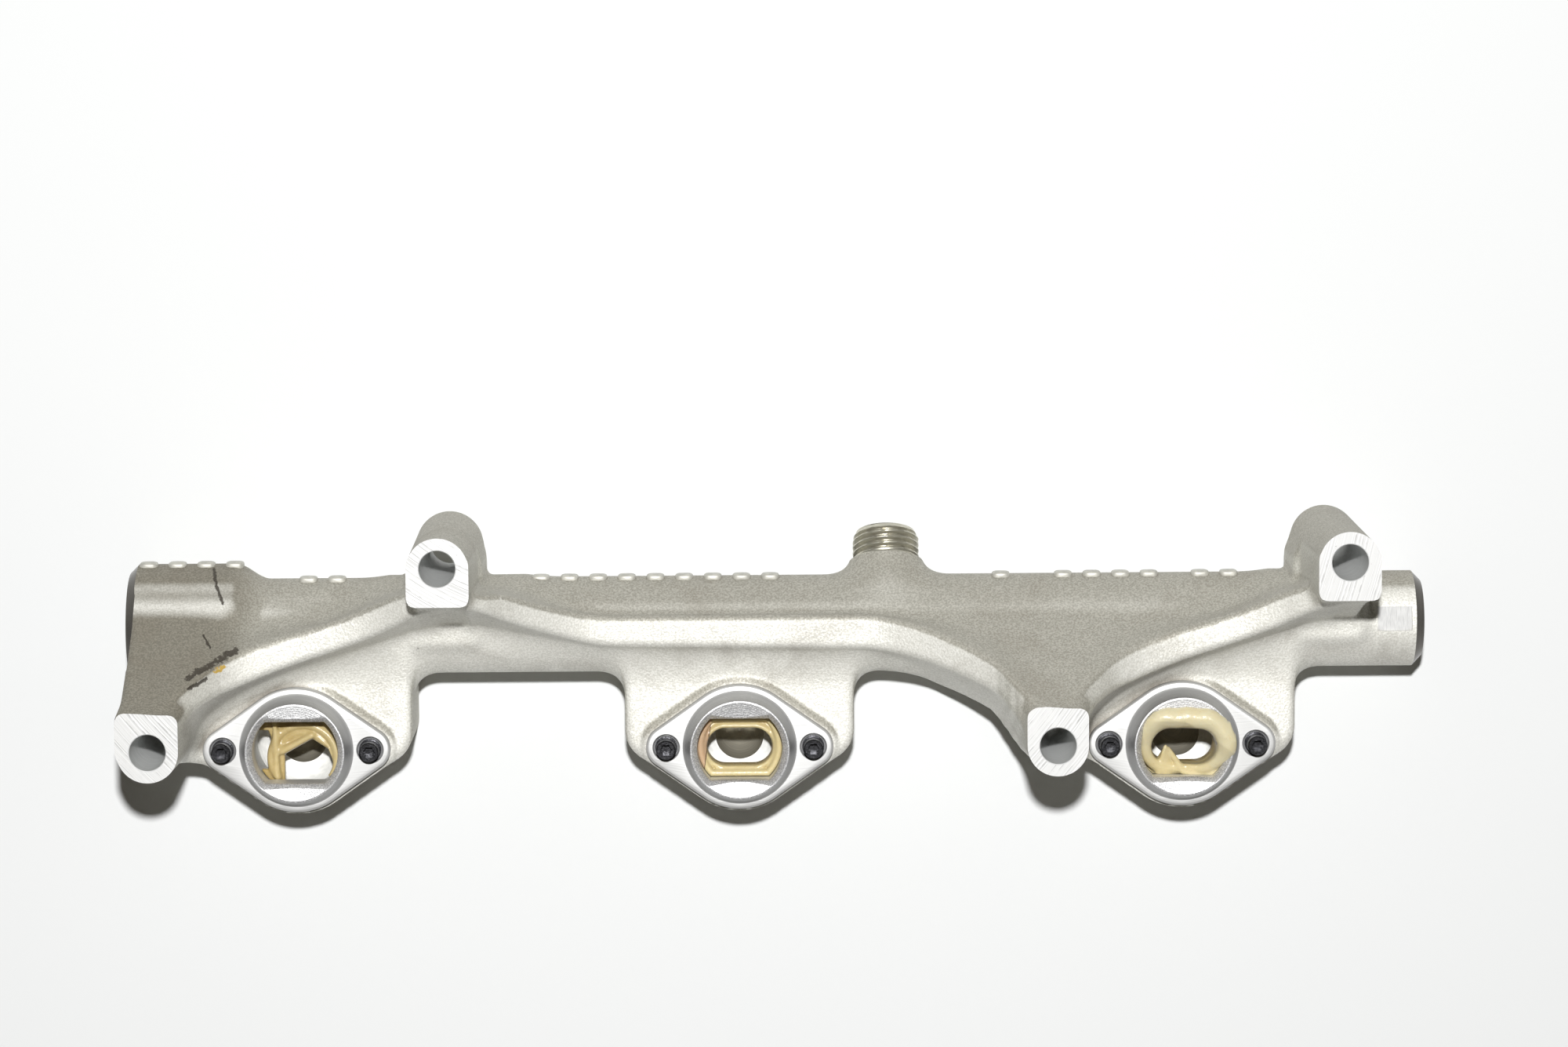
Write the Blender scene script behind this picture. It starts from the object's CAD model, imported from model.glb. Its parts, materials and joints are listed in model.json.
import bpy
import bmesh
import json
import math
import numpy as np
import openvdb
from mathutils import Matrix, Vector

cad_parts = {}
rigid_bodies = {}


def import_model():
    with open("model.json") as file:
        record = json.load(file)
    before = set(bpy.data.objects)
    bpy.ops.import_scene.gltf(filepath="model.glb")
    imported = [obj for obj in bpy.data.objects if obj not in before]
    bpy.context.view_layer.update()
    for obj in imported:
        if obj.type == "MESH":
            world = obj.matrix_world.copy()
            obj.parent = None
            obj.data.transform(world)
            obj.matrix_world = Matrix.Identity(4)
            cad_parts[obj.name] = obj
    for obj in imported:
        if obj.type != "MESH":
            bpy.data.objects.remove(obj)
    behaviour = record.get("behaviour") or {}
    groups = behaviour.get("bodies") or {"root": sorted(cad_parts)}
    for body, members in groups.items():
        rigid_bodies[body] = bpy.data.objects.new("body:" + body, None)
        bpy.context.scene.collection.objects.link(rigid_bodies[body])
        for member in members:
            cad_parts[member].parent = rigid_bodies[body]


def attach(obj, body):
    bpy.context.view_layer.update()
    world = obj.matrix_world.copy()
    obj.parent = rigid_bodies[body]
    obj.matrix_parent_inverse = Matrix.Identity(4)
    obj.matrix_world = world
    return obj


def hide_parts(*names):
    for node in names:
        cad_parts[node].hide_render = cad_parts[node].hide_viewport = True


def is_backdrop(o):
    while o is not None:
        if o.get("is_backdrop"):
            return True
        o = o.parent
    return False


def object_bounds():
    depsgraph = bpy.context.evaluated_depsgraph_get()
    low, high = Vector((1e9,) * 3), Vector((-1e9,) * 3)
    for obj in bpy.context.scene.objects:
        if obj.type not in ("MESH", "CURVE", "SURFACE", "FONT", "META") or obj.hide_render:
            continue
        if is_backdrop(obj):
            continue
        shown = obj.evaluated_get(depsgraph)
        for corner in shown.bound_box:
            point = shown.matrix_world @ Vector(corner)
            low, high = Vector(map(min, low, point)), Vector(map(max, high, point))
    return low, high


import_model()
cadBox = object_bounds()
milli = 0.001
print("frame loaded")

# Sizes are in millimetres and are turned into metres where a mesh is made.
rail = dict(
    cups=(-106.0, 0.0, 106.0),
    outerCups=(-106.0, 106.0),
    tubeY=28.2, tubeZ=16.8, tubeR=11.5,
    leftX=-146.3, leftR=15.2, leftLong=25.0, shoulder=8.5,
    rightX=164.5,
    postFace=61.7, postBack=8.0, postR=7.15, postFlat=8.8,
    lowPost=(-31.8, 4.4), highPost=(36.1, 46.9),
    inletX=35.8, inletTilt=math.radians(27.0), collar=15.2,
    padTop=28.0,
)


def node(tree, kind, inputs=None, **settings):
    # Adds a shader node. An input may be a value or another node's socket.
    made = tree.nodes.new("ShaderNode" + kind)
    for name, value in settings.items():
        setattr(made, name, value)
    for name, value in (inputs or {}).items():
        if isinstance(value, bpy.types.NodeSocket):
            tree.links.new(value, made.inputs[name])
        else:
            made.inputs[name].default_value = value
    return made


def newGroup(name, inputs, outputs):
    group = bpy.data.node_groups.new(name, "ShaderNodeTree")
    for label, kind, value in inputs:
        socket = group.interface.new_socket(label, in_out="INPUT", socket_type="NodeSocket" + kind)
        socket.default_value = value
    for label, kind in outputs:
        group.interface.new_socket(label, in_out="OUTPUT", socket_type="NodeSocket" + kind)
    return group, group.nodes.new("NodeGroupInput").outputs, group.nodes.new("NodeGroupOutput").inputs


def useGroup(tree, group, inputs=None):
    made = tree.nodes.new("ShaderNodeGroup")
    made.node_tree = group
    for name, value in (inputs or {}).items():
        if isinstance(value, bpy.types.NodeSocket):
            tree.links.new(value, made.inputs[name])
        else:
            made.inputs[name].default_value = value
    return made.outputs


def maths(tree, operation, first, second=0.0, third=None, clamp=False):
    made = node(tree, "Math", operation=operation, use_clamp=clamp)
    for slot, value in enumerate((first, second, third)):
        if isinstance(value, bpy.types.NodeSocket):
            tree.links.new(value, made.inputs[slot])
        elif value is not None:
            made.inputs[slot].default_value = value
    return made.outputs[0]


def vectorMaths(tree, operation, first, second=(0, 0, 0), output="Vector"):
    return node(tree, "VectorMath", {0: first, 1: second}, operation=operation).outputs[output]


def scaled(tree, vector, share):
    return node(tree, "VectorMath", {0: vector, "Scale": share}, operation="SCALE").outputs["Vector"]


def levelGap(tree, first, second):
    # From one place to another with the height left out.
    return vectorMaths(tree, "MULTIPLY", vectorMaths(tree, "SUBTRACT", first, second), (1, 1, 0))


def ramp(tree, value, low, high, toLow=0.0, toHigh=1.0):
    # A smooth step of a value between two limits.
    inputs = {"Value": value, "From Min": low, "From Max": high, "To Min": toLow, "To Max": toHigh}
    return node(tree, "MapRange", inputs, interpolation_type="SMOOTHSTEP").outputs["Result"]


def blend(tree, share, first, second, mode="MIX"):
    # Mixes two colours.
    made = node(tree, "Mix", data_type="RGBA", blend_type=mode, clamp_factor=True)
    for slot, value in ((0, share), (6, first), (7, second)):
        if isinstance(value, bpy.types.NodeSocket):
            tree.links.new(value, made.inputs[slot])
        else:
            made.inputs[slot].default_value = value
    return made.outputs[2]


def objectPlace(tree):
    # Places on the piece itself, in millimetres.
    return scaled(tree, node(tree, "TexCoord").outputs["Object"], 1 / milli)


def noiseAt(tree, place, scale, detail=2.0, rough=0.5, warp=0.0):
    inputs = {"Vector": place, "Scale": scale, "Detail": detail, "Roughness": rough, "Distortion": warp}
    return node(tree, "TexNoise", inputs).outputs["Fac"]


def grainGroup():
    # Blasted metal: a fine pebbled height and a scatter of light and dark specks.
    group, given, result = newGroup(
        "blastGrain",
        (("Place", "Vector", (0, 0, 0)), ("Grain Size", "Float", 0.55)),
        (("Height", "Float"), ("Speck", "Float")),
    )
    scale = maths(group, "DIVIDE", 1.0, given["Grain Size"])
    fine = noiseAt(group, given["Place"], scale, 2.0, 0.6)
    cells = node(group, "TexVoronoi", {"Vector": given["Place"], "Scale": scale}, feature="SMOOTH_F1")
    group.links.new(maths(group, "MULTIPLY_ADD", cells.outputs["Distance"], -0.5, fine), result["Height"])
    group.links.new(ramp(group, fine, 0.36, 0.66), result["Speck"])
    return group


def creviceGroup():
    # Dirt that gathers in corners, broken up by noise.
    group, given, result = newGroup(
        "creviceDirt",
        (
            ("Place", "Vector", (0, 0, 0)), ("Reach", "Float", 0.004),
            ("Start", "Float", 0.75), ("Full", "Float", 0.35),
        ),
        (("Mask", "Float"),),
    )
    corner = node(group, "AmbientOcclusion", {"Distance": given["Reach"]}, samples=8).outputs["AO"]
    broken = maths(group, "MULTIPLY_ADD", noiseAt(group, given["Place"], 0.45, 4.0, 0.6), 0.3, corner)
    broken = maths(group, "SUBTRACT", broken, 0.15)
    group.links.new(ramp(group, broken, given["Full"], given["Start"], 1.0, 0.0), result["Mask"])
    return group


def scratchGroup():
    # Arcs left by a cutter that sweeps round a distant centre.
    group, given, result = newGroup(
        "cutterArcs",
        (("Place", "Vector", (0, 0, 0)), ("Centre", "Vector", (0, 0, 0)), ("Spacing", "Float", 0.5)),
        (("Height", "Float"), ("Mask", "Float")),
    )
    away = levelGap(group, given["Place"], given["Centre"])
    turns = maths(group, "DIVIDE", vectorMaths(group, "LENGTH", away, output="Value"), given["Spacing"])
    noise = node(group, "TexNoise", {"W": turns, "Scale": 1.0, "Detail": 3.0}, noise_dimensions="1D")
    lines = noise.outputs["Fac"]
    gaps = ramp(group, noiseAt(group, given["Place"], 0.35, 2.0), 0.4, 0.6)
    group.links.new(lines, result["Height"])
    group.links.new(maths(group, "MULTIPLY", ramp(group, lines, 0.52, 0.66), gaps), result["Mask"])
    return group


def scoreGroup():
    # One ragged mark from a start to an end.
    group, given, result = newGroup(
        "ragMark",
        (
            ("Place", "Vector", (0, 0, 0)), ("Start", "Vector", (0, 0, 0)),
            ("End", "Vector", (1, 0, 0)), ("Width", "Float", 0.5),
        ),
        (("Mask", "Float"),),
    )
    wobble = node(group, "TexNoise", {"Vector": given["Place"], "Scale": 0.9, "Detail": 3.0}).outputs["Color"]
    wobble = vectorMaths(group, "SUBTRACT", wobble, (0.5, 0.5, 0.5))
    wobble = scaled(group, wobble, maths(group, "MULTIPLY", given["Width"], 3.0))
    shaken = vectorMaths(group, "ADD", given["Place"], wobble)
    # Heights are left out, so a mark lies on whatever surface is under it.
    fromStart = levelGap(group, shaken, given["Start"])
    line = levelGap(group, given["End"], given["Start"])
    along = vectorMaths(group, "DOT_PRODUCT", fromStart, line, "Value")
    whole = vectorMaths(group, "DOT_PRODUCT", line, line, "Value")
    nearest = scaled(group, line, maths(group, "DIVIDE", along, whole, clamp=True))
    gap = vectorMaths(group, "DISTANCE", fromStart, nearest, "Value")
    edge = maths(group, "MULTIPLY", given["Width"], 0.4)
    group.links.new(ramp(group, gap, edge, given["Width"], 1.0, 0.0), result["Mask"])
    return group


def facingGroup():
    # Which way a surface faces: up, to the far or near side, or into the band that was rubbed bright.
    group, given, result = newGroup(
        "facingWays",
        (("Steep", "Float", 0.4), ("Flat", "Float", 0.86), ("Rubbed", "Vector", (0.0, 0.454, 0.891))),
        (("Up", "Float"), ("Far", "Float"), ("Near", "Float"), ("Band", "Float")),
    )
    normal = node(group, "TexCoord").outputs["Normal"]
    parts = node(group, "SeparateXYZ", {0: normal}).outputs
    group.links.new(ramp(group, parts["Z"], given["Steep"], given["Flat"]), result["Up"])
    group.links.new(ramp(group, parts["Y"], 0.04, 0.3), result["Far"])
    group.links.new(ramp(group, parts["Y"], -0.15, -0.6), result["Near"])
    close = vectorMaths(group, "DOT_PRODUCT", normal, given["Rubbed"], "Value")
    group.links.new(ramp(group, close, 0.895, 0.99), result["Band"])
    return group


grain = grainGroup()
crevice = creviceGroup()
arcs = scratchGroup()
score = scoreGroup()
facings = facingGroup()


def markMask(tree, place, start, end, width):
    return useGroup(tree, score, {"Place": place, "Start": start, "End": end, "Width": width})["Mask"]


def dirtMask(tree, place, reach, start, full):
    return useGroup(tree, crevice, {"Place": place, "Reach": reach, "Start": start, "Full": full})["Mask"]


def newMaterial(name, metallic, roughness):
    material = bpy.data.materials.new(name)
    material.use_nodes = True
    tree = material.node_tree
    shader = tree.nodes["Principled BSDF"]
    shader.inputs["Metallic"].default_value = metallic
    shader.inputs["Roughness"].default_value = roughness
    return material, tree, shader


def bumped(tree, shader, height, distance, strength=1.0):
    bump = node(tree, "Bump", {"Height": height, "Distance": distance * milli, "Strength": strength})
    tree.links.new(bump.outputs["Normal"], shader.inputs["Normal"])


castLook = dict(
    pale=(0.97, 0.96, 0.90, 1), grey=(0.76, 0.75, 0.69, 1),
    side=(0.50, 0.49, 0.435, 1), sidePale=(0.66, 0.65, 0.585, 1),
    far=(0.22, 0.205, 0.165, 1), farPale=(0.32, 0.30, 0.245, 1),
    dull=(0.36, 0.345, 0.295, 1), dullPale=(0.52, 0.505, 0.445, 1),
    stain=(0.235, 0.20, 0.15, 1), dirt=(0.055, 0.045, 0.032, 1), yellow=(0.62, 0.42, 0.10, 1),
    metallic=0.3, grainSize=0.48, grainDepth=0.1,
    blotchShare=0.25, spotShare=0.65, cornerShare=0.75, markShare=0.9, markDepth=-3.0,
    leftEnd=(-112.0, -124.0), leftBand=(-88.0, -128.0), rightBand=(120.0, 148.0),
    marks=(
        ((-125.8, 42.6, 21.5), (-124.7, 39.2, 27.3), 0.42),
        ((-124.7, 39.2, 27.3), (-122.8, 35.6, 30.1), 0.36),
        ((-129.3, 20.4, 26.6), (-123.4, 23.4, 29.0), 0.75),
        ((-124.2, 23.0, 28.8), (-119.0, 25.6, 31.5), 0.95),
        ((-128.6, 18.2, 24.6), (-125.2, 19.6, 26.2), 0.6),
        ((-127.0, 28.8, 31.8), (-125.0, 26.2, 31.2), 0.3),
    ),
    rust=((-123.0, 21.2, 28.6), (-121.6, 22.2, 29.2), 0.8),
)


def castMaterial():
    material, tree, shader = newMaterial("blastedCasting", castLook["metallic"], 0.6)
    place = objectPlace(tree)
    parts = node(tree, "SeparateXYZ", {0: place}).outputs
    fine = useGroup(tree, grain, {"Place": place, "Grain Size": castLook["grainSize"]})
    corners = dirtMask(tree, place, 0.0045, 0.8, 0.25)
    facing = useGroup(tree, facings)

    def speckled(dark, pale):
        return blend(tree, fine["Speck"], castLook[dark], castLook[pale])

    color = blend(tree, facing["Near"], speckled("side", "sidePale"), speckled("grey", "pale"))
    color = blend(tree, facing["Up"], color, speckled("grey", "pale"))
    # What faces the far side kept its dull skin. The two ends of the tube have a rubbed band.
    leftEnd = ramp(tree, parts["X"], *castLook["leftEnd"])
    leftBand = ramp(tree, parts["X"], *castLook["leftBand"])
    ends = maths(tree, "ADD", leftBand, ramp(tree, parts["X"], *castLook["rightBand"]))
    skin = blend(tree, leftEnd, speckled("dull", "dullPale"), speckled("far", "farPale"))
    color = blend(tree, facing["Far"], color, skin)
    flat = node(tree, "CombineXYZ", {"Y": parts["Y"], "Z": parts["Z"]}).outputs[0]
    away = vectorMaths(tree, "DISTANCE", flat, (0, rail["tubeY"], rail["tubeZ"]), "Value")
    onTube = ramp(tree, maths(tree, "MULTIPLY_ADD", leftEnd, -3.6, away), 14.2, 12.6)
    rubbed = maths(tree, "MULTIPLY", facing["Band"], maths(tree, "MULTIPLY_ADD", ends, 0.7, 0.3))
    color = blend(tree, maths(tree, "MULTIPLY", rubbed, onTube), color, speckled("grey", "pale"))
    blotch = ramp(tree, noiseAt(tree, place, 0.05, 5.0, 0.62, 0.8), 0.45, 0.72)
    spots = ramp(tree, noiseAt(tree, place, 0.33, 5.0, 0.75, 0.2), 0.66, 0.76)
    whole = 0.0
    for mark in castLook["marks"]:
        whole = maths(tree, "MAXIMUM", whole, markMask(tree, place, *mark))
    for mask, share, tone in (
        (blotch, "blotchShare", "stain"), (spots, "spotShare", "dirt"),
        (corners, "cornerShare", "stain"), (whole, "markShare", "dirt"),
    ):
        color = blend(tree, maths(tree, "MULTIPLY", mask, castLook[share]), color, castLook[tone])
    color = blend(tree, markMask(tree, place, *castLook["rust"]), color, castLook["yellow"])
    tree.links.new(color, shader.inputs["Base Color"])
    tree.links.new(maths(tree, "MULTIPLY_ADD", fine["Speck"], -0.1, 0.66), shader.inputs["Roughness"])
    height = maths(tree, "MULTIPLY_ADD", whole, castLook["markDepth"], fine["Height"])
    bumped(tree, shader, height, castLook["grainDepth"])
    return material


machined = dict(
    face=(0.70, 0.70, 0.69, 1), dull=(0.44, 0.44, 0.43, 1),
    bored=(0.86, 0.87, 0.86, 1), cup=(0.50, 0.47, 0.39, 1), ledge=(0.85, 0.85, 0.82, 1),
    ends=(0.12, 0.112, 0.10, 1), pads=(0.62, 0.61, 0.55, 1), thread=(0.66, 0.64, 0.54, 1),
    sweep=(-40.0, 96.0, 0.0), spacing=0.45, darker=0.8,
)


def milledMaterial():
    # The post faces: bright, with arcs of a fly cutter.
    material, tree, shader = newMaterial("milledFace", 0.25, 0.5)
    place = objectPlace(tree)
    sweep = useGroup(tree, arcs, {
        "Place": place, "Centre": machined["sweep"], "Spacing": machined["spacing"],
    })
    color = blend(tree, maths(tree, "MULTIPLY", sweep["Mask"], 0.8), machined["face"], machined["dull"])
    nicks = ramp(tree, noiseAt(tree, place, 0.9, 4.0, 0.7), 0.66, 0.74)
    color = blend(tree, nicks, color, machined["dull"])
    tree.links.new(color, shader.inputs["Base Color"])
    bumped(tree, shader, sweep["Height"], 0.05)
    return material


def boreMaterial(name, tone, roughness, ring, metallic=0.95):
    # Turned and bored metal, with faint rings along its axis.
    material, tree, shader = newMaterial(name, metallic, roughness)
    place = objectPlace(tree)
    stretched = vectorMaths(tree, "MULTIPLY", place, ring)
    lines = node(tree, "TexNoise", {"Vector": stretched, "Scale": 1.0, "Detail": 3.0}).outputs["Fac"]
    darker = tuple(machined["darker"] * part for part in tone[:3]) + (1,)
    color = blend(tree, ramp(tree, lines, 0.3, 0.7), tone, darker)
    dirt = dirtMask(tree, place, 0.003, 0.7, 0.2)
    color = blend(tree, maths(tree, "MULTIPLY", dirt, 0.5), color, castLook["stain"])
    tree.links.new(color, shader.inputs["Base Color"])
    bumped(tree, shader, lines, 0.02)
    return material


castMetal = castMaterial()
milledMetal = milledMaterial()
boredMetal = boreMaterial("boredHole", machined["bored"], 0.5, (0.2, 0.2, 4.0), 0.1)
cupMetal = boreMaterial("polishedCup", machined["cup"], 0.32, (0.05, 0.05, 5.0), 0.5)
ledgeMetal = boreMaterial("facedLedge", machined["ledge"], 0.55, (0.4, 0.4, 3.0), 0.3)
turnedMetal = boreMaterial("turnedEnd", machined["ends"], 0.25, (7.0, 0.1, 0.1))
flatMetal = boreMaterial("keyFlat", machined["face"], 0.5, (3.0, 0.4, 0.4), 0.3)
padMetal = boreMaterial("rubbedPads", machined["pads"], 0.5, (0.6, 0.6, 0.6), 0.3)
threadMetal = boreMaterial("cutThread", machined["thread"], 0.36, (0.3, 2.0, 2.0), 0.85)
print("metals made")


def toObject(name, mesh, material=None):
    obj = bpy.data.objects.new(name, mesh)
    bpy.context.scene.collection.objects.link(obj)
    if material:
        mesh.materials.append(material)
    return obj


def triangleCount(obj):
    return sum(len(face.vertices) - 2 for face in obj.data.polygons)


def fromBmesh(name, build):
    mesh = bpy.data.meshes.new(name)
    build.to_mesh(mesh)
    build.free()
    return mesh


def smoothMin(a, b, k):
    share = np.clip(0.5 + 0.5 * (b - a) / k, 0.0, 1.0)
    return b + (a - b) * share - k * share * (1.0 - share)


def smoothMax(a, b, k):
    return -smoothMin(-a, -b, k)


def ease(t):
    t = np.clip(t, 0.0, 1.0)
    return t * t * (3.0 - 2.0 * t)


def extruded(flat, z, low, high, edge):
    # A flat outline's field given a height and rounded rims.
    side = flat + edge
    end = np.abs(z - (low + high) / 2) - (high - low) / 2 + edge
    outside = np.sqrt(np.maximum(side, 0.0) ** 2 + np.maximum(end, 0.0) ** 2)
    return outside + np.minimum(np.maximum(side, end), 0.0) - edge


def roundedBox(x, y, halfX, halfY, corner):
    a = np.abs(x) - halfX + corner
    b = np.abs(y) - halfY + corner
    outside = np.sqrt(np.maximum(a, 0.0) ** 2 + np.maximum(b, 0.0) ** 2)
    return outside + np.minimum(np.maximum(a, b), 0.0) - corner


def stadium(x, y, halfLong, radius):
    straight = np.maximum(np.abs(x) - (halfLong - radius), 0.0)
    return np.sqrt(straight ** 2 + y ** 2) - radius


def rod(x, y, z, start, end, startR, endR):
    # A rod between two points whose radius changes along it.
    line = np.array(end) - np.array(start)
    share = ((x - start[0]) * line[0] + (y - start[1]) * line[1] + (z - start[2]) * line[2]) / (line @ line)
    share = np.clip(share, 0.0, 1.0)
    gap = np.sqrt(sum((axis - s - l * share) ** 2 for axis, s, l in zip((x, y, z), start, line)))
    return gap - startR - (endR - startR) * share


def archOutline(x, y, radius, flat, side, corner):
    # A half circle on one side and a squared end on the other.
    along = y * side
    square = roundedBox(x, along - flat / 2, radius, flat / 2, corner)
    lower = np.maximum(np.abs(x) - radius, np.maximum(along - (flat - corner) / 2, -along))
    return np.minimum(np.minimum(square, lower), np.sqrt(x * x + y * y) - radius)


def padOutline(x, y, grow):
    # A large round middle drawn out to two small round tips.
    big, small, reach = plate["middleR"], plate["tipR"], plate["tipX"]
    ax, ay = np.abs(x), np.abs(y)
    sine = (big - small) / reach
    cosine = math.sqrt(1.0 - sine * sine)
    nearTip = (ax - reach) * cosine - ay * sine
    nearMiddle = ax * cosine - ay * sine
    middle = np.sqrt(ax * ax + ay * ay) - big
    tip = np.sqrt((ax - reach) ** 2 + ay * ay) - small
    return np.where(nearMiddle < 0, middle, np.where(nearTip > 0, tip, ax * sine + ay * cosine - big)) - grow


def fieldMesh(name, field, low, high, step, passes=2):
    # The zero surface of a distance field, as a mesh in metres.
    axes = [np.arange(a, b + step, step, dtype=np.float32) for a, b in zip(low, high)]
    x, y, z = (axis.reshape([-1 if i == n else 1 for i in range(3)]) for n, axis in enumerate(axes))
    counts = [len(axis) for axis in axes]
    values = np.ascontiguousarray(np.broadcast_to(field(x, y, z), counts), dtype=np.float32)
    grid = openvdb.FloatGrid(background=float(step * 4))
    grid.copyFromArray(np.clip(values, -step * 4, step * 4))
    points, triangles, quads = grid.convertToPolygons(isovalue=0.0, adaptivity=0.0)
    places = points.astype(np.float64) * step + np.array(low)
    probe = 0.05
    for _ in range(passes):
        # Each point slides along the field's slope onto the true surface.
        value = field(*places.T)
        slope = []
        for axis in range(3):
            shift = np.zeros(3)
            shift[axis] = probe
            slope.append((field(*(places + shift).T) - field(*(places - shift).T)) / (2 * probe))
        slope = np.array(slope).T
        size = np.maximum((slope * slope).sum(axis=1), 0.25)
        move = slope * (value / size)[:, None]
        places -= np.clip(move, -step * 0.45, step * 0.45)
    mesh = bpy.data.meshes.new(name)
    faces = [tuple(int(i) for i in face) for kind in (triangles, quads) for face in kind]
    mesh.from_pydata([tuple(p) for p in (places * milli).tolist()], [], faces)
    mesh.update()
    return mesh


def turnedPoint(place, along, radius, turn):
    return place @ (Vector((radius * math.cos(turn), radius * math.sin(turn), along)) * milli)


def bridge(build, first, second):
    # Faces between two closed rings of points.
    for i in range(len(first)):
        j = (i + 1) % len(first)
        build.faces.new((first[i], first[j], second[j], second[i]))


def capped(build, rings):
    # Joins the rings in turn and closes both ends.
    for first, second in zip(rings, rings[1:]):
        bridge(build, first, second)
    build.faces.new(rings[0][::-1])
    build.faces.new(rings[-1])
    bmesh.ops.recalc_face_normals(build, faces=build.faces)
    return build


def lathe(profile, place, segments=96):
    # A turned closed solid. The profile runs along the axis as (distance along, radius).
    build = bmesh.new()
    turns = [2 * math.pi * i / segments for i in range(segments)]
    rings = [[build.verts.new(turnedPoint(place, *point, turn)) for turn in turns] for point in profile]
    return capped(build, rings)


def hoop(profile, place, segments=128):
    # A turned solid whose profile is a closed loop of (distance along, radius).
    build = bmesh.new()
    least = 0.001
    columns = []
    for i in range(segments):
        turn = 2 * math.pi * i / segments
        columns.append([build.verts.new(turnedPoint(place, a, max(r, least), turn)) for a, r in profile])
    for first, second in zip(columns, columns[1:] + columns[:1]):
        bridge(build, first, second)
    bmesh.ops.remove_doubles(build, verts=build.verts, dist=0.000003)
    bmesh.ops.recalc_face_normals(build, faces=build.faces)
    return build


def stacked(levels):
    # A closed solid through outlines of equal count, each at its own height.
    build = bmesh.new()
    rings = [[build.verts.new(Vector((x, y, z)) * milli) for x, y in outline] for z, outline in levels]
    return capped(build, rings)


def upright(x, y):
    return Matrix.Translation(Vector((x, y, 0)) * milli)


def alongTube(x, direction):
    turn = Matrix.Rotation(math.radians(90 * direction), 4, "Y")
    return Matrix.Translation(Vector((x, rail["tubeY"], rail["tubeZ"])) * milli) @ turn


def alongInlet():
    place = Vector((rail["inletX"], rail["tubeY"], rail["tubeZ"])) * milli
    return Matrix.Translation(place) @ Matrix.Rotation(-math.pi / 2 - rail["inletTilt"], 4, "X")


def boxBuild(low, high):
    build = bmesh.new()
    bmesh.ops.create_cube(build, size=1.0)
    for vert in build.verts:
        vert.co = Vector([((a + b) / 2 + c * (b - a)) * milli for a, b, c in zip(low, high, vert.co)])
    return build


def joined(name, builds):
    whole = bmesh.new()
    for build in builds:
        mesh = bpy.data.meshes.new("loose")
        build.to_mesh(mesh)
        build.free()
        whole.from_mesh(mesh)
        bpy.data.meshes.remove(mesh)
    return fromBmesh(name, whole)


def boolean(obj, builds, material, operation="DIFFERENCE"):
    # Cut faces take the cutter's own material.
    tool = toObject("tool", joined("tool", builds), material)
    change = obj.modifiers.new("change", "BOOLEAN")
    change.operation = operation
    change.solver = "EXACT"
    change.material_mode = "TRANSFER"
    change.object = tool
    bpy.context.view_layer.update()
    shape = bpy.data.meshes.new_from_object(obj.evaluated_get(bpy.context.evaluated_depsgraph_get()))
    obj.modifiers.clear()
    obj.data = shape
    bpy.data.objects.remove(tool)


def softened(obj, degrees=38):
    obj.data.shade_smooth()
    obj.data.set_sharp_from_angle(angle=math.radians(degrees))


def settle(obj, slot, *nodes):
    # The piece rides the one body and, where named, stands for CAD nodes.
    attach(obj, "root")
    if nodes:
        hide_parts(*nodes)


plate = dict(
    top=31.0, middleR=15.0, tipR=5.0, tipX=17.4,
    edge=(
        (28.0, -0.35), (28.35, 0.0), (30.3, 0.0), (30.57, -0.05),
        (30.8, -0.2), (30.95, -0.43), (31.0, -0.7),
    ),
    ring=((28.2, 13.7), (31.05, 13.65), (31.5, 13.2), (34.6, 12.35), (35.6, 12.1), (36.05, 11.85)),
    ringTop=36.3, lipDrop=0.08, lipR=11.45, dish=(0.6, 1.15, 0.65), dishR=(7.6, 5.0),
    openR=10.2, flat=7.4, mouth=((27.0, 0.0), (34.6, 0.0), (34.95, 0.12), (36.1, 1.2), (36.6, 2.1)),
    screwX=17.6, recess=1.4, shankR=1.6, recessR=3.05, rim=((30.75, 3.05), (31.3, 3.6)),
)

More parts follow.
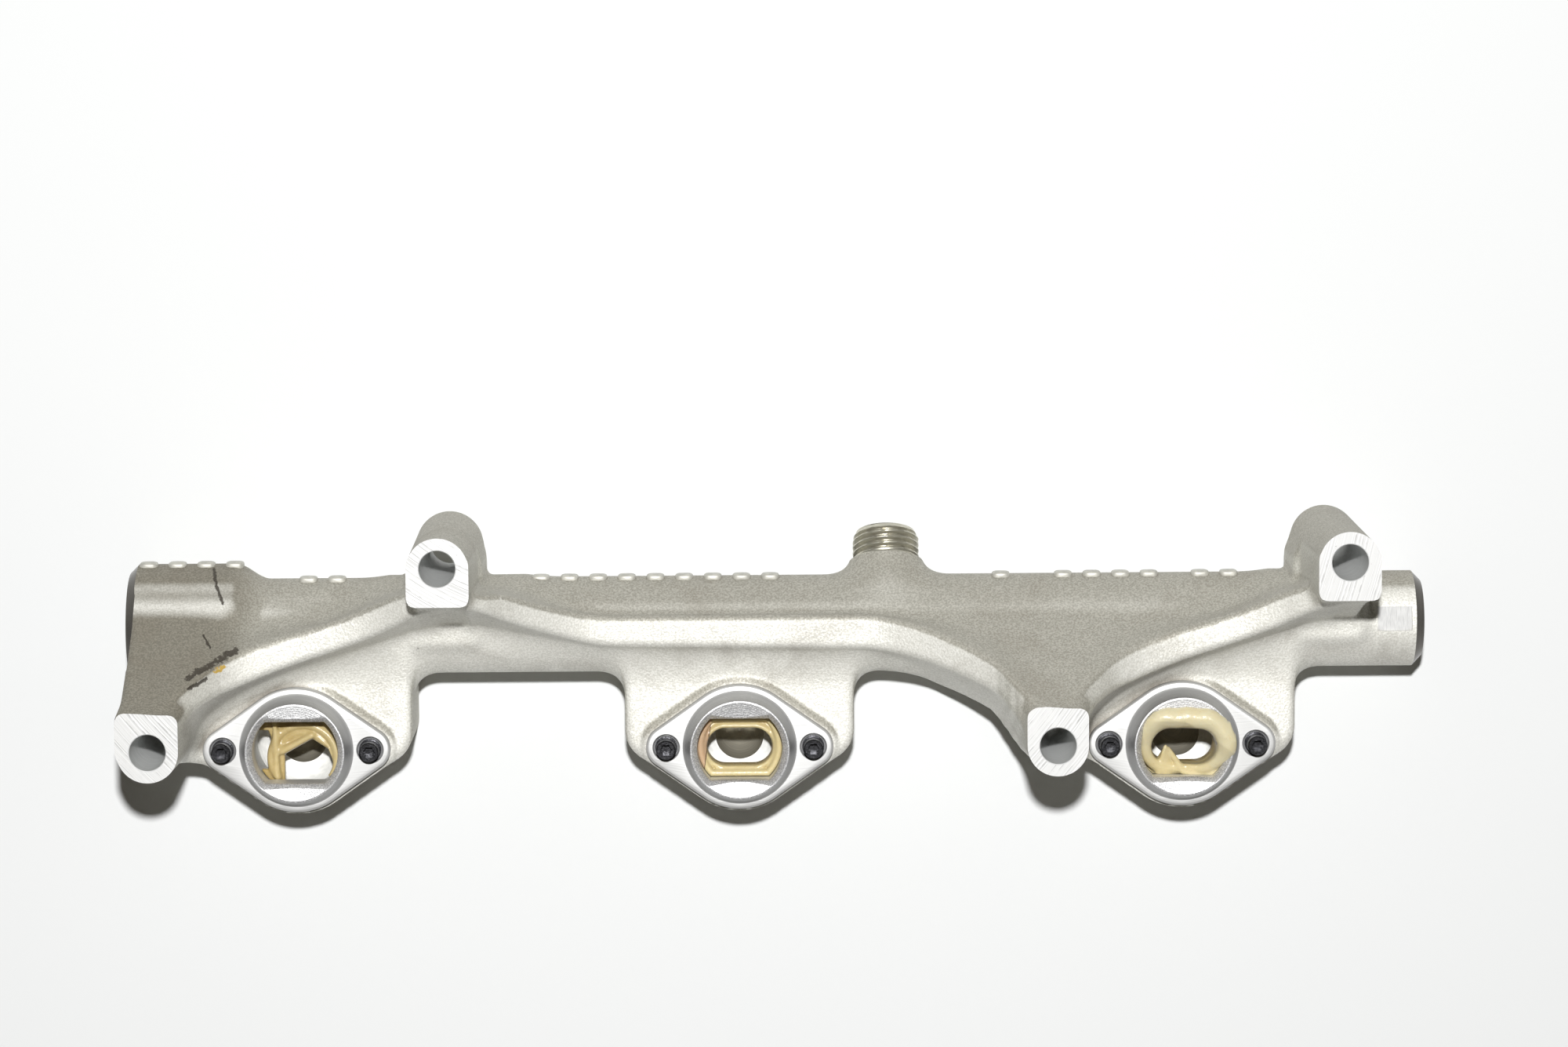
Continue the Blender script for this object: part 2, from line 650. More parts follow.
casting = dict(
    step=0.85, low=(-149.5, -19.0, -2.5), high=(167.5, 58.0, 66.0),
    draft=0.0177, flankAngle=28.0, hollow=0.9, wallSlope=0.3, wallDepth=26.0,
    softening=(-4.0, -2.0, 0.0, 2.0, 4.0),
    crestEdge=1.3, tubeBlend=4.0, postBlend=3.0, inletBlend=7.5, neckR=8.3,
    post=dict(corner=2.2, above=2.0, edge=1.2),
    apron=dict(inset=1.6, leanY=0.957, leanZ=0.29, halfWide=5.4, foot=18.0, edge=1.0, blend=3.0),
    saddle=dict(
        shift=0.5, y=35.5, halfX=8.9, halfY=11.5, corner=3.5,
        low=8.0, high=29.0, edge=2.0, blend=2.5,
    ),
    boss=dict(y=10.6, halfX=27.5, halfY=15.0, corner=8.0, high=27.0, edge=1.6, blend=7.0),
    pad=dict(grow=0.9, edge=0.8, blend=1.2),
    # Stations along the ribs: place along the rail, low side, high side, crest and root.
    arms=((-38.5, 4.4, 13.2, 61.4, 8.0), (-29.5, 4.4, 13.2, 60.0, 8.0)),
    rise=(
        (-24.0, 12.0, 18.0, 54.5, 14.0), (-20.0, 14.6, 21.5, 48.0, 16.0),
        (-12.5, 17.2, 25.0, 42.0, 16.0), (-2.0, 21.2, 28.4, 40.0, 16.0),
        (11.5, 25.6, 32.4, 40.0, 16.0), (20.8, 29.3, 36.6, 42.5, 16.0),
        (29.5, 34.4, 41.0, 49.0, 16.0), (34.0, 37.0, 42.0, 51.0, 16.0),
    ),
    valley=(
        (-63.4, 37.2, 43.0, 54.0, 16.0), (-53.3, 31.9, 37.8, 44.0, 16.0),
        (-40.8, 27.3, 33.4, 36.0, 16.0), (-33.0, 25.0, 31.9, 33.5, 16.0),
        (33.0, 24.0, 31.9, 33.5, 16.0), (44.1, 21.9, 29.4, 38.5, 14.0),
        (56.7, 17.4, 24.4, 46.0, 10.0), (64.6, 13.2, 19.6, 53.0, 8.0),
    ),
)

# What is cut from the casting: corners of boxes, and turned outlines as (distance along, radius).
cuts = dict(
    aboveFaces=((-170, -30, rail["postFace"]), (180, 70, 80)),
    keyFlat=((153.0, 26.5, 27.5), (161.3, 32.3, 33.0)),
    postHole=((5.0, 4.8), (21.5, 4.8), (21.5, 4.25), (61.5, 4.25), (62.0, 4.75)),
    tappedHole=((18.0, 1.55), (30.0, 1.55)),
    cupBore=((3.6, 0.4), (4.6, 3.0), (8.0, 5.2), (11.8, 5.9)),
    cupLedge=((11.4, 6.1), (12.5, 10.2), (13.2, 11.0), (33.0, 11.0)),
    leftEnd=((-2.3, 15.5), (0.0, 13.2), (0.0, 0.0), (12.0, 0.0), (12.0, 30.0), (-2.1, 30.0)),
    rightEnd=((-3.0, 12.4), (0.0, 9.3), (0.0, 0.0), (12.0, 0.0), (12.0, 30.0), (-3.0, 30.0)),
    port=((-60.0, 6.0), (-22.0, 6.0), (-22.0, 10.2), (3.0, 10.2)),
    inletBore=((8.0, 4.6), (40.0, 4.6)),
    inletFace=((rail["collar"], 14.0), (40.0, 14.0)),
)


def tubeRadius(x):
    start = rail["leftX"] + rail["leftLong"]
    return rail["leftR"] + (rail["tubeR"] - rail["leftR"]) * ease((x - start) / rail["shoulder"])


def alongRib(x, table, column):
    # One measure of a rib at a place along the rail, averaged over a few millimetres.
    shifts = casting["softening"]
    return sum(np.interp(x + shift, table[:, 0], table[:, column]) for shift in shifts) / len(shifts)


def crestField(x, y, z, stations, endRound):
    # The ribs and arms: a wall, a crest and a sloping flank that runs down to the tube.
    table = np.array(stations)
    low, high, crest, root = (alongRib(x, table, column) for column in (1, 2, 3, 4))
    lean = alongRib(x + 0.5, table, 1) - alongRib(x - 0.5, table, 1)
    climb = alongRib(x + 0.5, table, 3) - alongRib(x - 0.5, table, 3)
    radius = tubeRadius(x) - 0.3
    least = math.sin(math.radians(casting["flankAngle"]))
    angle = np.arcsin(np.clip((high + 2.0 - rail["tubeY"]) / radius, least, 0.98))
    footY = rail["tubeY"] + radius * np.sin(angle)
    footZ = rail["tubeZ"] + radius * np.cos(angle)
    drop = crest - footZ
    run = footY - high
    length = np.sqrt(drop * drop + run * run)
    flank = ((y - high) * drop + (z - crest) * run) / length
    along = ((y - high) * run - (z - crest) * drop) / (length * length)
    flank = flank + casting["hollow"] * np.sin(math.pi * np.clip(along, 0.0, 1.0)) ** 2
    spread = casting["wallSlope"] * np.clip(crest - z, 0.0, casting["wallDepth"])
    wall = (low - spread - y) / np.sqrt(1.0 + lean * lean + casting["wallSlope"] ** 2)
    top = (z - crest) / np.sqrt(1.0 + climb * climb)
    field = smoothMax(top, wall, casting["crestEdge"])
    field = smoothMax(field, flank, casting["crestEdge"])
    field = smoothMax(field, y - footY, 1.0)
    field = smoothMax(field, root - z, 2.0)
    ends = np.maximum(table[0, 0] - x, x - table[-1, 0])
    return smoothMax(field, ends, endRound)


def shifted(stations, by):
    return tuple((station[0] + by,) + station[1:] for station in stations)


def castingField(x, y, z):
    ty, tz = rail["tubeY"], rail["tubeZ"]
    body = np.sqrt((y - ty) ** 2 + (z - tz) ** 2) - tubeRadius(x)
    climbs = casting["arms"] + casting["rise"]
    left = crestField(x, y, z, shifted(climbs, rail["cups"][0]), 2.0)
    right = crestField(x, y, z, casting["valley"] + shifted(climbs, rail["cups"][2]), 1.0)
    body = smoothMin(body, np.minimum(left, right), casting["tubeBlend"])
    post, apron, saddle = casting["post"], casting["apron"], casting["saddle"]
    boss, pad = casting["boss"], casting["pad"]
    highX, highY = rail["highPost"]
    for cup in rail["outerCups"]:
        for (dx, py), side in ((rail["lowPost"], 1), (rail["highPost"], -1)):
            grow = (rail["postFace"] - z) * casting["draft"]
            shape = (rail["postR"], rail["postFlat"], side, post["corner"])
            outline = archOutline(x - cup - dx, y - py, *shape) - grow
            column = extruded(outline, z, rail["postBack"], rail["postFace"] + post["above"], post["edge"])
            body = smoothMin(body, column, casting["postBlend"])
        front = (highY - rail["postFlat"] + apron["inset"] - y) * apron["leanY"]
        front = front + (z - rail["postFace"]) * apron["leanZ"]
        slope = np.maximum(np.abs(x - cup - highX) - apron["halfWide"], np.maximum(front, y - highY))
        body = smoothMin(body, smoothMax(slope, apron["foot"] - z, apron["edge"]), apron["blend"])
        outline = roundedBox(
            x - cup - highX + saddle["shift"], y - saddle["y"],
            saddle["halfX"], saddle["halfY"], saddle["corner"],
        )
        seat = extruded(outline, z, saddle["low"], saddle["high"], saddle["edge"])
        body = smoothMin(body, seat, saddle["blend"])
    for cup in rail["cups"]:
        outline = roundedBox(x - cup, y - boss["y"], boss["halfX"], boss["halfY"], boss["corner"])
        body = smoothMin(body, extruded(outline, z, 0.0, boss["high"], boss["edge"]), boss["blend"])
    for cup in rail["cups"]:
        outline = padOutline(x - cup, y, pad["grow"])
        body = smoothMin(body, extruded(outline, z, 0.0, rail["padTop"], pad["edge"]), pad["blend"])
    dy, dz = math.cos(rail["inletTilt"]), -math.sin(rail["inletTilt"])
    along = (y - ty) * dy + (z - tz) * dz
    across = np.sqrt((x - rail["inletX"]) ** 2 + ((y - ty) * -dz + (z - tz) * dy) ** 2)
    neck = np.maximum(across - casting["neckR"], np.maximum(along - rail["collar"] - 2.0, -along))
    # The back is cut flat, level with the floor.
    return np.maximum(smoothMin(body, neck, casting["inletBlend"]), -z)


def buildCasting():
    mesh = fieldMesh("castBody", castingField, casting["low"], casting["high"], casting["step"])
    obj = toObject("castBody", mesh, castMetal)
    # The machined faces, holes and ends are cut crisp into the soft casting.
    boolean(obj, [boxBuild(*cuts["aboveFaces"])], milledMetal)
    holes = []
    for cup in rail["outerCups"]:
        for dx, py in (rail["lowPost"], rail["highPost"]):
            holes.append(lathe(cuts["postHole"], upright(cup + dx, py), 64))
    for cup in rail["cups"]:
        for side in (-plate["screwX"], plate["screwX"]):
            holes.append(lathe(cuts["tappedHole"], upright(cup + side, 0), 24))
    boolean(obj, holes, boredMetal)
    boolean(obj, [lathe(cuts["cupBore"], upright(cup, 0)) for cup in rail["cups"]], cupMetal)
    boolean(obj, [lathe(cuts["cupLedge"], upright(cup, 0)) for cup in rail["cups"]], ledgeMetal)
    left, right = alongTube(rail["leftX"], -1), alongTube(rail["rightX"], 1)
    boolean(obj, [hoop(cuts["leftEnd"], left), hoop(cuts["rightEnd"], right)], turnedMetal)
    boolean(obj, [boxBuild(*cuts["keyFlat"])], flatMetal)
    boolean(obj, [lathe(cuts["port"], left), lathe(cuts["inletBore"], alongInlet())], boredMetal)
    boolean(obj, [lathe(cuts["inletFace"], alongInlet())], turnedMetal)
    softened(obj)
    settle(obj, "cast", "rail_casting")
    print("casting made,", triangleCount(obj), "triangles")


buildCasting()


nipple = dict(
    start=13.5, threadStart=15.4, threadEnd=21.2, end=22.9,
    pitch=1.5, crest=8.0, root=7.1, tip=7.1, bore=4.6, chamfer=0.5, row=0.12, segments=120,
)


def threadRadius(along, turn):
    # Where the flank of the thread stands at a height and a turn.
    wave = abs(((along / nipple["pitch"] - turn / (2 * math.pi)) % 1.0) * 2.0 - 1.0)
    tooth = min(max(wave * 1.5 - 0.25, 0.0), 1.0)
    fade = float(ease((along - nipple["threadStart"]) / 0.9))
    radius = nipple["crest"] - (nipple["crest"] - nipple["root"]) * (1.0 - tooth) * fade
    past = max(along - nipple["threadEnd"], 0.0) / (nipple["end"] - nipple["threadEnd"])
    return min(radius, nipple["crest"] - (nipple["crest"] - nipple["tip"]) * past)


def buildNipple():
    place = alongInlet()
    build = bmesh.new()
    start, end, bore, chamfer = nipple["start"], nipple["end"], nipple["bore"], nipple["chamfer"]
    rows = int((end - start) / nipple["row"])
    turns = [2 * math.pi * i / nipple["segments"] for i in range(nipple["segments"])]
    heights = [start + (end - start) * i / rows for i in range(rows + 1)]
    loops = [[(along, threadRadius(along, turn)) for turn in turns] for along in heights]
    for point in ((end, bore + chamfer), (end - chamfer, bore), (start, bore)):
        loops.append([point] * len(turns))
    rings = []
    for loop in loops:
        rings.append([build.verts.new(turnedPoint(place, *point, turn)) for point, turn in zip(loop, turns)])
    for first, second in zip(rings, rings[1:] + rings[:1]):
        bridge(build, first, second)
    bmesh.ops.recalc_face_normals(build, faces=build.faces)
    obj = toObject("inletThread", fromBmesh("inletThread", build), threadMetal)
    softened(obj, 50)
    settle(obj, "cast")


buildNipple()
print("inlet thread made")


bumps = dict(
    z=18.4, long=4.4, wide=4.2, proud=1.05, gap=6.9, squareness=0.55,
    runs=(
        (-144.0, -121.0, 43.2), (-105.7, -91.8, 39.5), (-49.8, 8.7, 39.5),
        (61.0, 66.0, 39.5), (76.0, 101.3, 39.5), (109.0, 121.7, 39.5),
    ),
)


def buildBumps():
    # Rows of plain oblong pads cast along the tube's far side.
    build = bmesh.new()
    half = Vector((bumps["long"] / 2, bumps["proud"], bumps["wide"] / 2)) * milli
    for start, end, y in bumps["runs"]:
        count = round((end - start - bumps["long"]) / bumps["gap"]) + 1
        for i in range(count):
            centre = Vector((start + i * bumps["gap"] + bumps["long"] / 2, y, bumps["z"])) * milli
            made = bmesh.ops.create_uvsphere(build, u_segments=20, v_segments=12, radius=1.0)
            for vert in made["verts"]:
                box = Vector([math.copysign(abs(part) ** bumps["squareness"], part) for part in vert.co])
                vert.co = centre + Vector([a * b for a, b in zip(box, half)])
    obj = toObject("castPads", fromBmesh("castPads", build), padMetal)
    softened(obj, 60)
    settle(obj, "cast")


buildBumps()
print("cast pads made")


def arc(cx, cy, radius, start, end, count):
    turns = [math.radians(start + (end - start) * i / count) for i in range(count + 1)]
    return [(cx + radius * math.cos(turn), cy + radius * math.sin(turn)) for turn in turns]


def plateOutline(grow):
    lean = math.degrees(math.acos((plate["middleR"] - plate["tipR"]) / plate["tipX"]))
    tip, middle, reach = plate["tipR"] + grow, plate["middleR"] + grow, plate["tipX"]
    return (arc(reach, 0, tip, -lean, lean, 20) + arc(0, 0, middle, lean, 180 - lean, 24)
            + arc(-reach, 0, tip, 180 - lean, 180 + lean, 20) + arc(0, 0, middle, 180 + lean, 360 - lean, 24))


def doubleFlat(grow):
    radius, flat = plate["openR"] + grow, plate["flat"] + grow
    turn = math.degrees(math.asin(flat / radius))
    return arc(0, 0, radius, -turn, turn, 28) + arc(0, 0, radius, 180 - turn, 180 + turn, 28)


plateLook = dict(
    brushed=(0.70, 0.70, 0.69, 1), brushedDark=(0.52, 0.52, 0.52, 1),
    ring=(0.56, 0.56, 0.57, 1), ringPale=(0.90, 0.90, 0.90, 1),
    wall=(0.42, 0.42, 0.42, 1), dirt=(0.05, 0.05, 0.055, 1),
    sweep=(6.0, 120.0, 0.0), grainSize=0.35, depth=0.07,
)


def plateMaterial():
    material, tree, shader = newMaterial("milledPlate", 0.5, 0.42)
    place = objectPlace(tree)
    parts = node(tree, "SeparateXYZ", {0: place}).outputs
    flat = node(tree, "CombineXYZ", {"X": parts["X"], "Y": parts["Y"]}).outputs[0]
    away = vectorMaths(tree, "LENGTH", flat, output="Value")
    onRing = maths(tree, "MULTIPLY", ramp(tree, away, 12.9, 12.5), ramp(tree, parts["Z"], 33.0, 33.6))
    turned = useGroup(tree, arcs, {"Place": place, "Centre": (0, 0, 0), "Spacing": 0.22})
    brushed = useGroup(tree, arcs, {"Place": place, "Centre": plateLook["sweep"], "Spacing": 0.3})
    fine = useGroup(tree, grain, {"Place": place, "Grain Size": plateLook["grainSize"]})
    strokes = maths(tree, "MULTIPLY", brushed["Mask"], 0.25)
    color = blend(tree, strokes, plateLook["brushed"], plateLook["brushedDark"])
    color = blend(tree, onRing, color, blend(tree, fine["Speck"], plateLook["ring"], plateLook["ringPale"]))
    # Walls that face sideways are darker, apart from those inside the opening.
    facing = useGroup(tree, facings, {"Steep": 0.45, "Flat": 0.85})["Up"]
    outside = ramp(tree, away, 10.9, 11.4)
    shade = maths(tree, "MULTIPLY", maths(tree, "SUBTRACT", 1.0, facing), outside)
    color = blend(tree, shade, color, plateLook["wall"])
    dirt = dirtMask(tree, place, 0.0014, 0.72, 0.3)
    color = blend(tree, maths(tree, "MULTIPLY", dirt, 0.85), color, plateLook["dirt"])
    tree.links.new(color, shader.inputs["Base Color"])
    ringHeight = maths(tree, "ADD", turned["Height"], maths(tree, "MULTIPLY", fine["Height"], 0.8))
    ringHeight = maths(tree, "MULTIPLY", ringHeight, onRing)
    height = maths(tree, "ADD", ringHeight, maths(tree, "MULTIPLY", brushed["Height"], 0.15))
    bumped(tree, shader, height, plateLook["depth"])
    tree.links.new(maths(tree, "MULTIPLY_ADD", onRing, 0.06, 0.42), shader.inputs["Roughness"])
    tree.links.new(maths(tree, "MULTIPLY_ADD", onRing, 0.15, 0.5), shader.inputs["Metallic"])
    return material


def buildPlate(number, x):
    levels = [(z, plateOutline(grow)) for z, grow in plate["edge"]]
    obj = toObject(f"plate{number}", fromBmesh("plate", stacked(levels)), milledPlate)
    floor = plate["ringTop"] - plate["dish"][number - 1]
    lip = (plate["ringTop"] - plate["lipDrop"], plate["lipR"])
    ring = plate["ring"] + (lip,) + tuple((floor, radius) for radius in plate["dishR"])
    boolean(obj, [lathe(ring, Matrix.Identity(4), 128)], milledPlate, "UNION")
    boolean(obj, [stacked([(z, doubleFlat(grow)) for z, grow in plate["mouth"]])], milledPlate)
    seat = plate["top"] - plate["recess"]
    profile = ((27.0, plate["shankR"]), (seat, plate["shankR"]), (seat, plate["recessR"])) + plate["rim"]
    holes = [lathe(profile, upright(side, 0), 64) for side in (-plate["screwX"], plate["screwX"])]
    boolean(obj, holes, milledPlate)
    softened(obj, 30)
    obj.location = Vector((x, 0, 0)) * milli
    settle(obj, "plate", f"retainer_plate_{number}")


milledPlate = plateMaterial()
for number, x in enumerate(rail["cups"], 1):
    buildPlate(number, x)
print("plates made")


screwLook = dict(
    dark=(0.03, 0.03, 0.033, 1), pale=(0.10, 0.10, 0.108, 1), worn=(0.40, 0.40, 0.41, 1),
    grainSize=0.3,
)


def oxideMaterial():
    material, tree, shader = newMaterial("blackOxide", 0.8, 0.26)
    place = objectPlace(tree)
    fine = useGroup(tree, grain, {"Place": place, "Grain Size": screwLook["grainSize"]})
    color = blend(tree, fine["Speck"], screwLook["dark"], screwLook["pale"])
    worn = ramp(tree, noiseAt(tree, place, 0.8, 4.0, 0.7), 0.62, 0.72)
    color = blend(tree, maths(tree, "MULTIPLY", worn, 0.5), color, screwLook["worn"])
    tree.links.new(color, shader.inputs["Base Color"])
    bumped(tree, shader, fine["Height"], 0.03)
    return material


blackOxide = oxideMaterial()
for number in (1, 2, 3):
    for side in ("left", "right"):
        for spot in bpy.data.objects[f"plate_screw_{number}_{side}"].material_slots:
            spot.material = blackOxide
print("screws painted")


insert = dict(
    bottom=23.4, discTop=27.6, outerR=10.85, step=0.26,
    holeLong=7.75, holeR=4.4, lipR=0.6, lipZ=27.9, rimR=0.8, rimZ=28.6,
    low=(-13.2, -11.6, 21.5), high=(13.2, 11.6, 39.0),
)

loose = dict(
    middle=24.6, lean=0.09, outerR=10.6, archX=1.3, archY=-2.6, archR=8.0, lipR=0.85, innerR=0.55,
    bar=((-3.3, -1.6), (3.4, 2.0), (7.2, -0.4), (8.8, -4.4)),
    post=((-5.6, 6.6, 26.2), (-5.0, -7.4, 25.8), 0.5, 0.5),
    slope=((-3.6, -0.8, 25.9), (3.3, 2.9, 26.6), 0.8, 0.6),
)

torn = dict(
    holeLong=7.6, holeR=4.5, skirtR=12.6, ruffle=0.5,
    flap=((-4.0, -7.2, 27.2), (-4.1, -0.4, 31.8), 3.4, 0.3),
    edge=((-5.6, -7.0, 29.6), (-4.3, -0.8, 31.9), 0.7, 0.4),
    ridge=(
        ((-3.4, -1.2, 31.2), (0.2, -6.6, 30.4), 0.5, 0.9),
        ((0.2, -6.6, 30.4), (5.5, -8.0, 30.6), 0.9, 1.1),
        ((5.5, -8.0, 30.6), (9.6, -5.6, 32.0), 1.1, 1.1),
    ),
)


def soundField(x, y, z):
    # The whole ring: a disc with a long hole, a rolled lip and a rim under the plate.
    away = np.sqrt(x * x + y * y)
    disc = extruded(away - insert["outerR"], z, insert["bottom"], insert["discTop"], 0.4)
    hole = stadium(x, y + 0.3, insert["holeLong"], insert["holeR"])
    lip = np.sqrt((hole - insert["lipR"]) ** 2 + (z - insert["lipZ"]) ** 2) - insert["lipR"]
    opening = np.maximum(away - plate["openR"], np.abs(y) - plate["flat"])
    rim = np.sqrt((opening + insert["rimR"]) ** 2 + (z - insert["rimZ"]) ** 2) - insert["rimR"]
    body = smoothMin(smoothMin(disc, lip, 0.9), np.maximum(rim, away - insert["outerR"]), 0.9)
    return smoothMax(body, -hole, 0.7)


def looseField(x, y, z):
    # The shrunken ring: it has dropped askew, and its hole shows only below a slanting bar.
    away = np.sqrt(x * x + y * y)
    lean = loose["middle"] + loose["lean"] * x
    disc = extruded(away - loose["outerR"], z, lean - 1.2, lean + 1.0, 0.5)
    bar = loose["bar"]
    under = np.interp(x, [point[0] for point in bar], [point[1] for point in bar])
    gap = np.maximum(np.maximum(bar[0][0] - x, x - bar[-1][0]), np.maximum(y - under, -9.5 - y))
    crescent = np.maximum(np.abs(y + 0.7) - 4.7, np.maximum(x + 6.0 + 0.04 * (y + 1.5) ** 2, -10.4 - x))
    body = smoothMax(smoothMax(disc, -gap, 0.5), -crescent, 0.5)
    arch = np.sqrt((x - loose["archX"]) ** 2 + (y - loose["archY"]) ** 2) - loose["archR"]
    lip = smoothMax(np.sqrt(arch ** 2 + (z - lean - 1.0) ** 2) - loose["lipR"], -7.0 - y, 0.5)
    inner = np.sqrt((arch + 1.9) ** 2 + (z - lean - 0.8) ** 2) - loose["innerR"]
    body = smoothMin(body, np.minimum(lip, smoothMax(inner, under + 0.6 - y, 0.3)), 0.8)
    body = smoothMin(body, rod(x, y, z, *loose["post"]), 1.4)
    body = smoothMin(body, rod(x, y, z, *loose["slope"]), 1.0)
    return smoothMax(body, away - insert["outerR"], 0.3)


def tornField(x, y, z):
    # The torn ring: a swollen lip has climbed over the plate's ring, and a flap stands up.
    away = np.sqrt(x * x + y * y)
    disc = extruded(away - insert["outerR"], z, insert["bottom"], insert["discTop"], 0.4)
    hole = stadium(x - 0.15, y + 0.3, torn["holeLong"], torn["holeR"])
    crest = np.clip(32.3 + 0.45 * y + 0.3 * np.maximum(x, 0.0), 28.6, 35.2)
    thick = np.clip(1.9 + 0.14 * y + 0.05 * x, 1.45, 2.7)
    wave = 0.12 * np.sin(1.1 * x + 0.7) * ease(y / 5.0)
    lip = np.sqrt((hole - thick - wave) ** 2 + (z - crest) ** 2) - thick
    apron = extruded(np.maximum(hole - thick - 0.6, -hole), z, insert["bottom"], crest, 0.4)
    body = smoothMin(disc, smoothMin(lip, apron, 1.0), 1.2)
    body = smoothMax(body, -hole, 0.6)
    skirt = away - torn["skirtR"] + torn["ruffle"] * np.abs(np.sin(2.3 * x)) * ease(y / 6)
    body = smoothMax(body, skirt, 0.5)
    flap = smoothMin(rod(x, y, z, *torn["flap"]), rod(x, y, z, *torn["edge"]), 0.5)
    ridge = rod(x, y, z, *torn["ridge"][0])
    for length in torn["ridge"][1:]:
        ridge = np.minimum(ridge, rod(x, y, z, *length))
    return smoothMin(smoothMin(body, flap, 0.8), ridge, 0.7)


amberLook = dict(
    deep=(0.44, 0.32, 0.12, 1), wall=(0.62, 0.52, 0.28, 1), cream=(0.74, 0.68, 0.47, 1),
    cloud=(0.70, 0.58, 0.33, 1), rosy=(0.52, 0.33, 0.22, 1),
    seam=(0.04, 0.02, 0.005, 1), speck=(0.35, 0.2, 0.05, 1),
    subsurface=0.3, scatter=0.0015, reach=(1.0, 0.8, 0.45), depth=0.12,
    seams=(
        (),
        (((-7.0, 4.8, 27.5), (-8.6, -6.0, 27.5), 0.13),),
        (((7.2, 0.9, 31.0), (6.9, -0.6, 30.5), 0.75),),
    ),
)


def amberMaterial(name, seams, blush):
    # Aged clear-brown plastic: paler on its lips, darker down its walls.
    material, tree, shader = newMaterial(name, 0.0, 0.3)
    place = objectPlace(tree)
    parts = node(tree, "SeparateXYZ", {0: place}).outputs
    color = blend(tree, ramp(tree, parts["Z"], 24.0, 29.0), amberLook["deep"], amberLook["wall"])
    cream = ramp(tree, parts["Z"], 30.5, 35.0)
    color = blend(tree, maths(tree, "MULTIPLY", cream, 0.8), color, amberLook["cream"])
    cloud = ramp(tree, noiseAt(tree, place, 0.25, 4.0, 0.6, 0.5), 0.4, 0.7)
    color = blend(tree, maths(tree, "MULTIPLY", cloud, 0.35), color, amberLook["cloud"])
    if blush:
        rosy = ramp(tree, maths(tree, "MULTIPLY_ADD", parts["Y"], -0.15, parts["X"]), -7.3, -7.9)
        color = blend(tree, maths(tree, "MULTIPLY", rosy, 0.75), color, amberLook["rosy"])
    for seam in seams:
        mark = maths(tree, "MULTIPLY", markMask(tree, place, *seam), 0.9)
        color = blend(tree, mark, color, amberLook["seam"])
    specks = ramp(tree, noiseAt(tree, place, 1.6, 3.0, 0.7), 0.66, 0.72)
    color = blend(tree, maths(tree, "MULTIPLY", specks, 0.4), color, amberLook["speck"])
    tree.links.new(color, shader.inputs["Base Color"])
    shader.inputs["Subsurface Weight"].default_value = amberLook["subsurface"]
    shader.inputs["Subsurface Scale"].default_value = amberLook["scatter"]
    shader.inputs["Subsurface Radius"].default_value = amberLook["reach"]
    bumped(tree, shader, noiseAt(tree, place, 0.8, 3.0, 0.6), amberLook["depth"])
    return material


def buildInserts():
    fields = (looseField, soundField, tornField)
    for number, (x, field, seams) in enumerate(zip(rail["cups"], fields, amberLook["seams"]), 1):
        mesh = fieldMesh("insert", field, insert["low"], insert["high"], insert["step"], 1)
        obj = toObject(f"insert{number}", mesh, amberMaterial(f"agedAmber{number}", seams, number == 2))
        softened(obj, 60)
        obj.location = Vector((x, 0, 0)) * milli
        settle(obj, "amber", f"cup_insert_{number}")
        print("insert", number, "made,", triangleCount(obj), "triangles")


buildInserts()


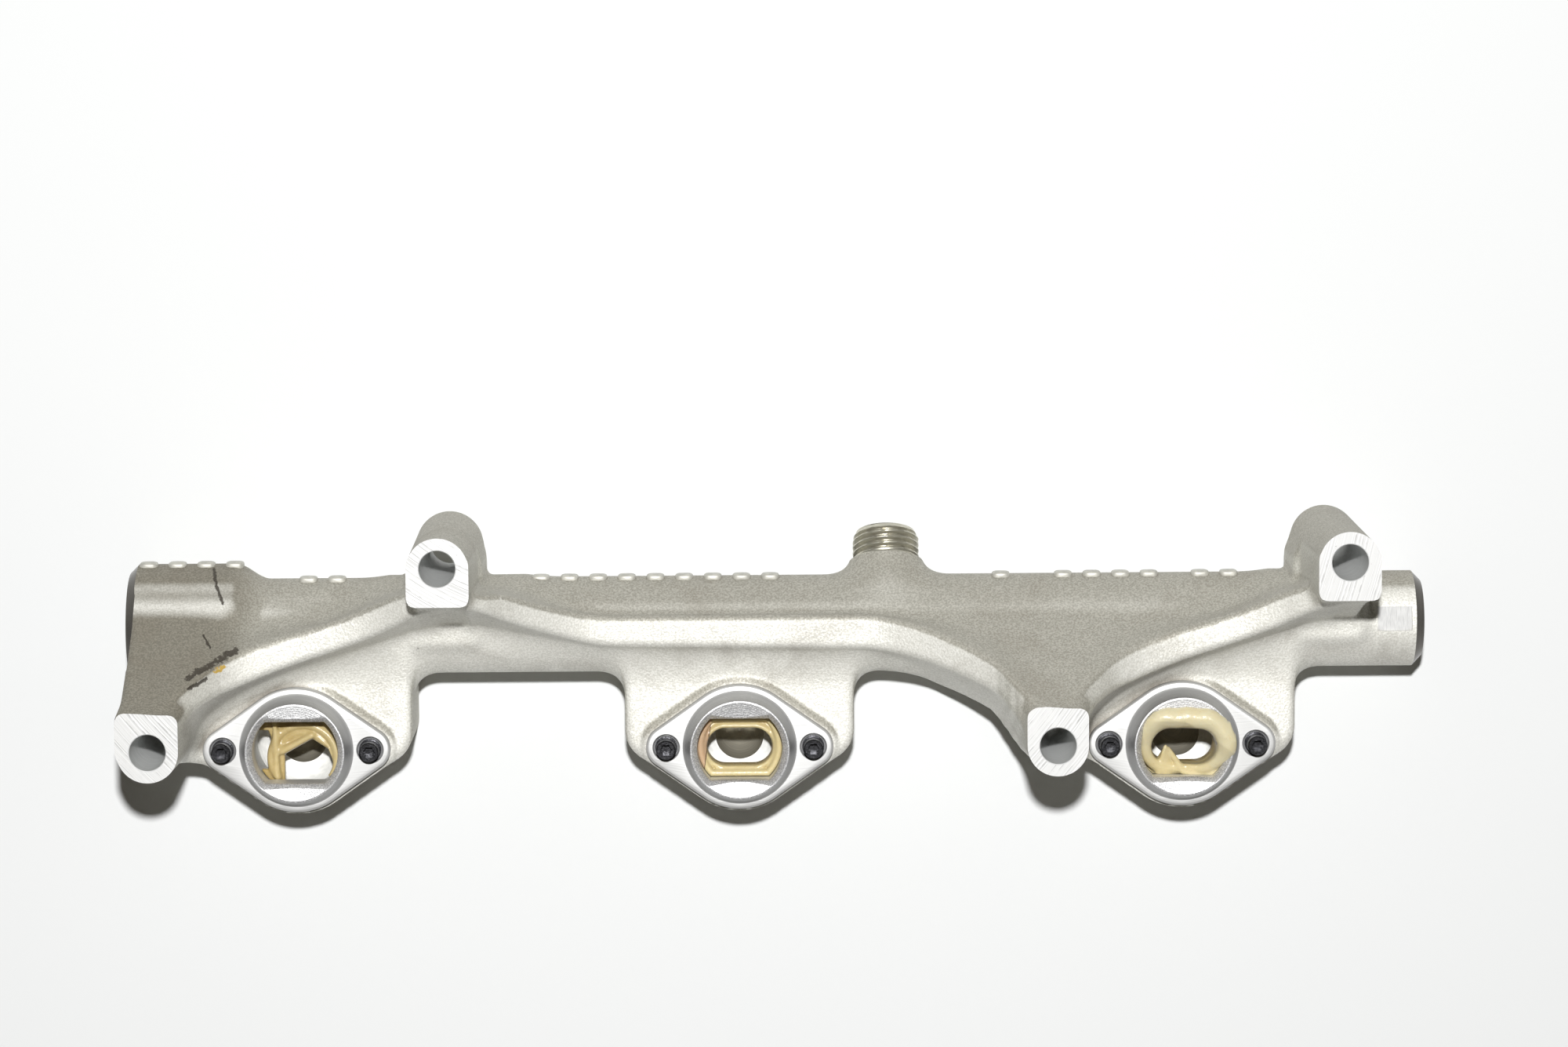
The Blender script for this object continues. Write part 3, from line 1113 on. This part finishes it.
studio = dict(
    floor=(0.86, 0.87, 0.87, 1), floorDark=(0.8, 0.82, 0.83, 1), roughness=0.7, size=6.0,
    flash=(0.0, 0.357, 1.254), flashSize=0.045, flashPower=18.2,
    fill=0.055, fillTone=(1.0, 0.92, 0.76, 1),
    camera=(-0.00004, 0.17494, 1.16672), focal=110.16, sensor=36.0,
    right=(0.9999, -0.0062, 0.0103), up=(0.0073, 0.9943, -0.1061), forward=(0.0096, -0.1061, -0.9943),
)


def paperMaterial():
    material, tree, shader = newMaterial("palePaper", 0.0, studio["roughness"])
    place = objectPlace(tree)
    faint = noiseAt(tree, place, 0.01, 3.0)
    color = blend(tree, maths(tree, "MULTIPLY", faint, 0.06), studio["floor"], studio["floorDark"])
    tree.links.new(color, shader.inputs["Base Color"])
    shader.inputs["Specular IOR Level"].default_value = 0.2
    return material


def buildStudio():
    build = bmesh.new()
    bmesh.ops.create_grid(build, x_segments=1, y_segments=1, size=studio["size"] / 2)
    floor = toObject("floor", fromBmesh("floor", build), paperMaterial())
    floor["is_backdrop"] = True
    lamp = bpy.data.lights.new("flash", "AREA")
    lamp.shape = "DISK"
    lamp.size = studio["flashSize"]
    lamp.energy = studio["flashPower"]
    flash = bpy.data.objects.new("flash", lamp)
    bpy.context.scene.collection.objects.link(flash)
    flash.location = studio["flash"]
    flash.rotation_mode = "QUATERNION"
    flash.rotation_quaternion = (-flash.location).to_track_quat("-Z", "Y")
    world = bpy.data.worlds.new("room")
    world.use_nodes = True
    world.node_tree.nodes["Background"].inputs["Color"].default_value = studio["fillTone"]
    world.node_tree.nodes["Background"].inputs["Strength"].default_value = studio["fill"]
    bpy.context.scene.world = world


def buildCamera():
    lens = bpy.data.cameras.new("camera")
    lens.lens = studio["focal"]
    lens.sensor_width = studio["sensor"]
    lens.clip_start = 0.05
    lens.clip_end = 20.0
    camera = bpy.data.objects.new("camera", lens)
    bpy.context.scene.collection.objects.link(camera)
    right, up, forward = (Vector(studio[name]) for name in ("right", "up", "forward"))
    turn = Matrix((right, up, -forward)).transposed().to_4x4()
    camera.matrix_world = Matrix.Translation(Vector(studio["camera"])) @ turn
    bpy.context.scene.camera = camera


buildStudio()
buildCamera()
bpy.context.scene.view_settings.view_transform = "Standard"
print("studio ready")

boxes = {"cad": cadBox, "scene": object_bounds()}
boxes = {name: [list(map(float, corner)) for corner in box] for name, box in boxes.items()}
